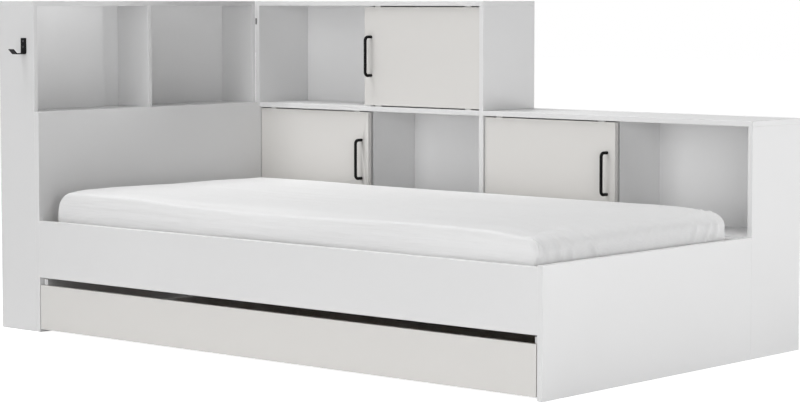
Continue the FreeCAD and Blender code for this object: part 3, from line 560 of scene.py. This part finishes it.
CAM_RADIUS = 0.0075
CAM_LENGTH = 0.0135
CAM_SLOT_DEPTH = 0.0012
low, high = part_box("cam_locks")
front_face, rear_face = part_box("front_rail")[1].y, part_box("rear_rail")[0].y
form = bmesh.new()
for face_y, way in [(front_face, 1.0), (rear_face, -1.0)]:
    for x in (low.x + CAM_RADIUS, high.x - CAM_RADIUS):
        for z in (low.z + CAM_RADIUS, high.z - CAM_RADIUS):
            base = Vector((x, face_y - way * CAM_LENGTH, z))
            driven_head(form, base, Vector((0, way, 0)), CAM_RADIUS, CAM_SLOT_DEPTH,
                        CAM_LENGTH - CAM_SLOT_DEPTH)
show(finished("cam_lock_discs", form, zinc), "root", "zinc_steel", "cam_locks")
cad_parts["cam_bolts"].data.materials.clear()
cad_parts["cam_bolts"].data.materials.append(zinc)

# ---------------------------------------------------------------- slats
# Thirteen planed pine slats lie across two pine ledges, which are glued and
# screwed along the insides of the rails.

SLAT_EASE = 0.002


def pine(name, along):
    """Planed pine with growth rings stretched along the grain, and soft knots."""
    material, tree, output = new_material(name)
    place = add(tree, "TexCoord").outputs["Object"]
    stretch = (0.9, 14.0, 14.0) if along == "x" else (14.0, 0.9, 14.0)
    drawn = add(tree, "Mapping", {"Vector": place}, Scale=stretch)
    warp = add(tree, "TexNoise", {"Vector": drawn.outputs[0]}, Scale=1.1, Detail=3.0)
    rings = add(tree, "TexWave", {"Vector": drawn.outputs[0]}, bands_direction="Y" if along == "x" else "X",
                Scale=1.6, Distortion=6.0, Detail=3.0)
    fibre = add(tree, "TexNoise", {"Vector": drawn.outputs[0]}, Scale=24.0, Detail=6.0, Roughness=0.7)
    grain = add(tree, "Math", {0: rings.outputs["Fac"], 1: warp.outputs["Fac"]}, operation="MULTIPLY")
    pale = add(tree, "MixRGB", {"Fac": grain.outputs[0]}, Color1=(0.72, 0.54, 0.33, 1.0),
               Color2=(0.50, 0.31, 0.15, 1.0))
    tone = add(tree, "MixRGB", {"Fac": fibre.outputs["Fac"], "Color1": pale.outputs[0]},
               Color2=(0.66, 0.48, 0.28, 1.0))
    bump = add(tree, "Bump", {"Height": fibre.outputs["Fac"]}, Strength=0.25, Distance=0.0004)
    gloss = add(tree, "MapRange", {"Value": rings.outputs["Fac"]}, To_Min=0.5, To_Max=0.7)
    shader = add(tree, "BsdfPrincipled", {"Base Color": tone.outputs[0], "Roughness": gloss.outputs[0],
                                          "Normal": bump.outputs[0]}, Specular_IOR_Level=0.3)
    tree.links.new(shader.outputs[0], output.inputs["Surface"])
    return material


long_pine = pine("pine_along_bed", "x")
cross_pine = pine("pine_across_bed", "y")
for node in ["front_slat_ledge", "rear_slat_ledge"]:
    eased_board(node, "root", "bare_wood", long_pine, long_pine, width=SLAT_EASE)
eased_board("slats", "root", "bare_wood", cross_pine, cross_pine, width=SLAT_EASE)

# ---------------------------------------------------------------- castors
# Four small castors under the drawer: a pressed steel plate with two ears and
# a riveted axle, and a solid nylon wheel with a raised hub.

eased_board("castor_brackets", "drawer", "zinc_steel", zinc, zinc, width=0.0004)
wheel_nylon = moulded_plastic("grey_nylon", (0.040, 0.040, 0.043), 0.5)
TREAD_ROUND, TREAD_STEPS = 0.002, 6
WEB_SINK = 0.0012
HUB_PROUD = 0.0015
HUB_RADIUS, BORE_RADIUS, HUB_EASE = 0.008, 0.00305, 0.0005
for row in ("front", "rear"):
    for side in ("left", "right"):
        node = "castor_wheel_%s_%s" % (row, side)
        low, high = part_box(node)
        centre = (low + high) / 2
        tread, hub_half = (high.z - low.z) / 2, (high.x - low.x) / 2
        rim_half = hub_half - HUB_PROUD
        outer = [(rim_half - WEB_SINK, HUB_RADIUS + 0.001), (rim_half - WEB_SINK, tread - 0.006),
                 (rim_half, tread - 0.005), (rim_half, tread - TREAD_ROUND)]
        outer += [(rim_half - TREAD_ROUND * (1 - math.cos(turn)), tread - TREAD_ROUND
                   + TREAD_ROUND * math.sin(turn))
                  for turn in (math.pi / 2 * step / TREAD_STEPS for step in range(1, TREAD_STEPS + 1))]
        face = [(hub_half, BORE_RADIUS), (hub_half, HUB_RADIUS - HUB_EASE),
                (hub_half - HUB_EASE, HUB_RADIUS)] + outer
        form = bmesh.new()
        turned(form, face + [(-height, radius) for height, radius in reversed(face)], centre,
               Vector((1, 0, 0)), 64, closed=True)
        piece = finished("castor_%s_%s_tyre" % (row, side), form, wheel_nylon, smooth=True)
        show(piece, node, "castor_plastic", node)

# ---------------------------------------------------------------- felt pads
# Two round pads punched from pressed felt and glued to the drawer's back.  They
# meet the bookcase plinth when the drawer is pushed in.


def felt_cloth(name, colour):
    """Pressed felt: a mat of short crossing fibres."""
    material, tree, output = new_material(name)
    place = add(tree, "TexCoord").outputs["Object"]
    fibre = add(tree, "TexNoise", {"Vector": place}, Scale=900.0, Detail=8.0, Roughness=0.8)
    tone = add(tree, "MixRGB", {"Fac": fibre.outputs["Fac"]},
               Color1=tuple(part * 0.5 for part in colour) + (1.0,),
               Color2=tuple(part * 1.5 for part in colour) + (1.0,))
    bump = add(tree, "Bump", {"Height": fibre.outputs["Fac"]}, Strength=0.8, Distance=0.0006)
    shader = add(tree, "BsdfPrincipled", {"Base Color": tone.outputs[0], "Normal": bump.outputs[0]},
                 Roughness=0.95, Specular_IOR_Level=0.1)
    tree.links.new(shader.outputs[0], output.inputs["Surface"])
    return material


felt = felt_cloth("grey_felt", (0.090, 0.090, 0.095))
PAD_EASE = 0.001
low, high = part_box("drawer_bumpers")
pad_radius, thick = (high.z - low.z) / 2, high.y - low.y
form = bmesh.new()
for x in (low.x + pad_radius, high.x - pad_radius):
    turned(form, [(0.0, 0.0), (0.0, pad_radius), (thick - PAD_EASE, pad_radius),
                  (thick - 0.3 * PAD_EASE, pad_radius - 0.5 * PAD_EASE),
                  (thick, pad_radius - 1.5 * PAD_EASE), (thick, 0.0)],
           Vector((x, low.y, (low.z + high.z) / 2)), Vector((0, 1, 0)), 48)
show(finished("felt_pads", form, felt), "drawer", "felt", "drawer_bumpers")

# ---------------------------------------------------------------- mattress
# A foam mattress with rounded ends in a cotton cover, under a white fitted sheet
# that is drawn smooth over the top and tucked under, with a crease along its front
# edge and small pleats at its foot corners.

HEAD_ROUND = (0.052, 0.088)
FOOT_ROUND = (0.044, 0.048)
FRONT_ROUND = (0.009, 0.009)
REAR_ROUND = (0.034, 0.040)
BOTTOM_ROUND = 0.020
CORNER_SQUARENESS = 6.0
CROWN = 0.001
HEAD_SWELL, FOOT_SWELL, TOP_SWELL, FRONT_SHRINK = 0.0095, 0.005, 0.0045, 0.007
low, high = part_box("mattress")
skin_low = Vector((low.x - HEAD_SWELL, low.y + FRONT_SHRINK, low.z))
skin_high = Vector((high.x + FOOT_SWELL, high.y, high.z + TOP_SWELL))


def spaced(start, end, step, fine_start, fine_end, fine):
    """Grid lines from start to end, closer together over a length at either end."""
    lines = [start]
    while lines[-1] < end:
        near = lines[-1] < start + fine_start or lines[-1] > end - fine_end - step
        lines.append(lines[-1] + (fine if near else step))
    share = (end - start) / (lines[-1] - start)
    return [start + (line - start) * share for line in lines]


def box_skin(form, lines):
    """Grid of quads over a closed box with the given grid lines along X, Y and Z."""
    counts = [len(line) - 1 for line in lines]
    seen = {}

    def corner(*place):
        """The vertex at whole-number grid coordinates."""
        if place not in seen:
            seen[place] = form.verts.new([lines[axis][place[axis]] for axis in range(3)])
        return seen[place]

    for axis in range(3):
        first, second = (axis + 1) % 3, (axis + 2) % 3
        for level in (0, counts[axis]):
            for one in range(counts[first]):
                for two in range(counts[second]):
                    loop = []
                    for plus_one, plus_two in ((0, 0), (1, 0), (1, 1), (0, 1)):
                        place = [0, 0, 0]
                        place[axis], place[first], place[second] = level, one + plus_one, two + plus_two
                        loop.append(corner(*place))
                    form.faces.new(loop if level else loop[::-1])


def mattress_skin(points, inset):
    """Round a box's points into the mattress, inset all round by a distance."""
    start, end = np.array(skin_low) + inset, np.array(skin_high) - inset
    points = start + (points - np.array(skin_low)) * (end - start) / np.array(skin_high - skin_low)
    x, y, z = points.T
    by_head, by_front = x - start[0] < end[0] - x, y - start[1] < end[1] - y
    upper = end[2] - z < z - start[2]
    near = [np.where(by_head, x - start[0], end[0] - x), np.where(by_front, y - start[1], end[1] - y),
            np.where(upper, end[2] - z, z - start[2])]
    end_round, end_drop = [np.where(by_head, HEAD_ROUND[side], FOOT_ROUND[side]) for side in (0, 1)]
    long_round, long_drop = [np.where(by_front, FRONT_ROUND[side], REAR_ROUND[side]) for side in (0, 1)]
    share_x = np.clip(1 - near[0] / end_round, 0, 1)
    share_y = np.clip(1 - near[1] / long_round, 0, 1)
    weight = share_x ** 2 + share_y ** 2
    drop = np.where(weight > 0, (share_x ** 2 * end_drop + share_y ** 2 * long_drop)
                    / np.maximum(weight, 1e-9), long_drop)
    drop = np.where(upper, drop, BOTTOM_ROUND)
    share_z = np.clip(1 - near[2] / drop, 0, 1)
    flat_share = (share_x ** CORNER_SQUARENESS + share_y ** CORNER_SQUARENESS) ** (1 / CORNER_SQUARENESS)
    size = np.sqrt(flat_share ** 2 + share_z ** 2)
    shrink = np.maximum(np.maximum(share_x, share_y), share_z) / np.maximum(size, 1e-9)
    reach = [end_round, long_round, drop]
    for axis, share in enumerate((share_x, share_y, share_z)):
        near[axis] = np.where(share > 0, reach[axis] * (1 - share * shrink), near[axis])
    rounded = np.stack([np.where(by_head, start[0] + near[0], end[0] - near[0]),
                        np.where(by_front, start[1] + near[1], end[1] - near[1]),
                        np.where(upper, end[2] - near[2], start[2] + near[2])], axis=1)
    return soften(rounded, start, end)


SHOULDER_DROP = 0.011
SHOULDER_REACH = 0.045
FOOT_SAG = 0.016
FOOT_SAG_REACH = 0.10
EDGE_WAVE, EDGE_PERIOD, EDGE_PEAK = 0.0045, 1.28, 0.66
BELLY, FRONT_REACH = 0.009, 0.03
FOOT_LEAN, FOOT_LEAN_REACH = 0.006, 0.06
HEAD_RISE, HEAD_RISE_LENGTH, HEAD_RISE_FADE = 0.0085, 0.45, 0.12


def soften(points, start, end):
    """Sag the top towards the foot and the front edge, whose height wanders; swell the front."""
    x, y, z = points.T
    height = end[2] - start[2]
    rise = np.clip((z - start[2]) / height, 0, 1)
    wander = EDGE_WAVE * np.cos(2 * np.pi * (x - EDGE_PEAK) / EDGE_PERIOD) - SHOULDER_DROP
    shoulder = np.exp(-((y - start[1]) / SHOULDER_REACH) ** 2)
    over = np.clip((x - start[0]) / (end[0] - start[0]) * 2 - 1, -1, 1)
    across = np.clip((y - start[1]) / (end[1] - start[1]) * 2 - 1, -1, 1)
    crown = CROWN * (1 - over ** 2) * (1 - across ** 2)
    sag = FOOT_SAG * (1 - 0.35 * across) * np.exp(-((end[0] - x) / FOOT_SAG_REACH) ** 2)
    lifted = z + rise ** 2 * (wander * shoulder * (1 - 0.6 * sag / FOOT_SAG) + crown - sag)
    full = 0.5 - 0.5 * np.tanh((x - start[0] - HEAD_RISE_LENGTH) / HEAD_RISE_FADE)
    lifted = lifted + rise ** 2 * HEAD_RISE * full * (0.6 - 0.4 * across)
    front = np.exp(-((y - start[1]) / FRONT_REACH) ** 2)
    swollen = y - front * BELLY * np.sin(np.pi * np.clip(rise, 0, 1)) - 0.35 * front * wander * rise
    leaning = x - FOOT_LEAN * (1 - rise) * np.exp(-((end[0] - x) / FOOT_LEAN_REACH) ** 2)
    return np.stack([leaning, swollen, lifted], axis=1)


def read_points(mesh):
    """All vertex places of a mesh as an array."""
    points = np.zeros(len(mesh.vertices) * 3)
    mesh.vertices.foreach_get("co", points)
    return points.reshape(-1, 3)


def ridge(points, line, reach, height):
    """Soft fold along a broken line: how far each point is lifted."""
    lift = np.zeros(len(points))
    count = len(line) - 1
    for index, (start, end) in enumerate(zip(line, line[1:])):
        start, end = np.array(start), np.array(end)
        way = end - start
        share = np.clip((points - start) @ way / (way @ way), 0, 1)
        away = np.linalg.norm(points - start - share[:, None] * way, axis=1)
        run = (index + share) / count
        envelope = np.clip(np.minimum(run, 1.15 - run) * 8.0, 0, 1)
        lift = np.maximum(lift, height * envelope * np.exp(-(away / reach) ** 2))
    return lift


def cotton(name, colour, weave):
    """Fine plain weave with soft lengthwise wrinkles and a faint sheen."""
    material, tree, output = new_material(name)
    place = add(tree, "TexCoord").outputs["Object"]
    warp = add(tree, "TexWave", {"Vector": place}, bands_direction="X", Scale=weave, Distortion=0.6)
    weft = add(tree, "TexWave", {"Vector": place}, bands_direction="Y", Scale=weave, Distortion=0.6)
    threads = add(tree, "Math", {0: warp.outputs["Fac"], 1: weft.outputs["Fac"]}, operation="MULTIPLY")
    drawn = add(tree, "Mapping", {"Vector": place}, Scale=(1.3, 16.0, 16.0))
    wrinkle = add(tree, "TexNoise", {"Vector": drawn.outputs[0]}, Scale=1.5, Detail=4.0, Roughness=0.5)
    cloud = add(tree, "TexNoise", {"Vector": place}, Scale=4.0, Detail=3.0)
    tone = add(tree, "MixRGB", {"Fac": cloud.outputs["Fac"]},
               Color1=tuple(part * 0.975 for part in colour) + (1.0,), Color2=colour + (1.0,))
    shaded = add(tree, "MixRGB", {"Fac": threads.outputs[0], "Color1": tone.outputs[0]}, Color2=(
        colour[0] * 0.95, colour[1] * 0.95, colour[2] * 0.95, 1.0))
    fine = add(tree, "Bump", {"Height": threads.outputs[0]}, Strength=0.15, Distance=0.0003)
    bump = add(tree, "Bump", {"Height": wrinkle.outputs["Fac"], "Normal": fine.outputs[0]}, Strength=0.6,
               Distance=0.012)
    shader = add(tree, "BsdfPrincipled", {"Base Color": shaded.outputs[0], "Normal": bump.outputs[0]},
                 Roughness=0.88, Specular_IOR_Level=0.2, Sheen_Weight=0.15, Sheen_Roughness=0.5)
    tree.links.new(shader.outputs[0], output.inputs["Surface"])
    return material


def skin_piece(name, inset, material, lines, shape=None):
    """The mattress form as a piece, reshaped by a function of its points if given."""
    form = bmesh.new()
    box_skin(form, lines)
    bmesh.ops.recalc_face_normals(form, faces=form.faces)
    piece = finished(name, form, material, smooth=True)
    points = mattress_skin(read_points(piece.data), inset)
    if shape is not None:
        points = shape(points)
    piece.data.vertices.foreach_set("co", points.ravel())
    piece.data.update()
    return piece


SHEET_INSET = 0.0012
CORE_INSET = 0.0045
TUCK, UNDERSIDE = 0.065, 0.004
FOOT_X = skin_high.x
PLEATS = [((0.000, -0.545, 0.350), (0.003, -0.556, 0.395), (0.020, -0.560, 0.425)),
          ((0.000, -0.507, 0.345), (0.004, -0.531, 0.412), (0.045, -0.545, 0.436)),
          ((0.000, -0.462, 0.350), (0.004, -0.482, 0.410), (0.040, -0.500, 0.435)),
          ((0.000, -0.406, 0.340), (0.004, -0.430, 0.408), (0.050, -0.462, 0.437)),
          ((0.000, -0.296, 0.350), (0.006, -0.332, 0.405), (0.080, -0.395, 0.440)),
          ((0.000, 0.150, 0.345), (0.004, 0.166, 0.395), (0.040, 0.190, 0.432)),
          ((0.000, 0.205, 0.340), (0.004, 0.2345, 0.405), (0.045, 0.258, 0.436)),
          ((0.000, 0.262, 0.345), (0.006, 0.274, 0.400), (0.035, 0.284, 0.430))]
PLEAT_REACH = 0.009
PLEAT_HEIGHT = 0.0100
DRAWN_REACH, DRAWN_HEIGHT = 0.012, 0.0016
SLACK, FINE_SLACK = 0.0024, 0.0011
HEART = 0.06
DRAWN_FOLDS = [((1.030, -0.520, 0.428), (0.900, -0.500, 0.442), (0.740, -0.420, 0.443)),
               ((1.020, -0.500, 0.430), (0.880, -0.420, 0.442), (0.700, -0.300, 0.443)),
               ((1.030, -0.450, 0.430), (0.930, -0.350, 0.441), (0.800, -0.200, 0.443))]


def drape(points):
    """Folds and slack of the fitted sheet over the mattress."""
    above = np.clip((points[:, 2] - skin_low.z - 0.02) / 0.04, 0, 1)
    lift = np.zeros(len(points))
    for pleat in PLEATS:
        line = [(FOOT_X - back, y, z) for back, y, z in pleat]
        lift = np.maximum(lift, ridge(points, line, PLEAT_REACH, PLEAT_HEIGHT))
    for fold in DRAWN_FOLDS:
        lift = np.maximum(lift, ridge(points, fold, DRAWN_REACH, DRAWN_HEIGHT))
    slack = np.array([noise.noise(Vector((x * 1.1, y * 5.0 + 3.0, z * 5.0))) for x, y, z in points])
    fine = np.array([noise.noise(Vector((x * 3.0, y * 16.0, z * 16.0 + 7.0))) for x, y, z in points])
    lift = lift + above * (SLACK * slack + FINE_SLACK * fine)
    centre = np.array((skin_low + skin_high) / 2)
    half = np.array(skin_high - skin_low) / 2
    inner = np.clip(points, centre - half + HEART, centre + half - HEART)
    way = points - inner
    size = np.linalg.norm(way, axis=1, keepdims=True)
    way = np.where(size > 1e-6, way / np.maximum(size, 1e-6), np.array([0.0, 0.0, 1.0]))
    return points + way * lift[:, None]


cover = cotton("mattress_cover", (0.70, 0.70, 0.71), 420.0)
sheet_cotton = cotton("white_cotton_sheet", (0.86, 0.86, 0.862), 900.0)
coarse = [spaced(skin_low[axis], skin_high[axis], step=0.016, fine_start=0.05, fine_end=0.05, fine=0.008)
          for axis in range(3)]
core = skin_piece("mattress_core", CORE_INSET, cover, coarse)
show(core, "root", "mattress_fabric", "mattress")

woven = [spaced(skin_low.x, skin_high.x, step=0.008, fine_start=0.08, fine_end=0.07, fine=0.005),
         spaced(skin_low.y, skin_high.y, step=0.008, fine_start=0.03, fine_end=0.04, fine=0.003),
         spaced(skin_low.z, skin_high.z, step=0.008, fine_start=0.0, fine_end=0.07, fine=0.004)]
sheet = skin_piece("fitted_sheet", SHEET_INSET, sheet_cotton, woven, drape)
form = bmesh.new()
form.from_mesh(sheet.data)
hidden = [surface for surface in form.faces
          if surface.calc_center_median().z < skin_low.z + UNDERSIDE
          and skin_low.x + TUCK < surface.calc_center_median().x < skin_high.x - TUCK
          and skin_low.y + TUCK < surface.calc_center_median().y < skin_high.y - TUCK]
bmesh.ops.delete(form, geom=hidden, context="FACES")
form.to_mesh(sheet.data)
form.free()
show(sheet, "root", "mattress_fabric", "mattress")
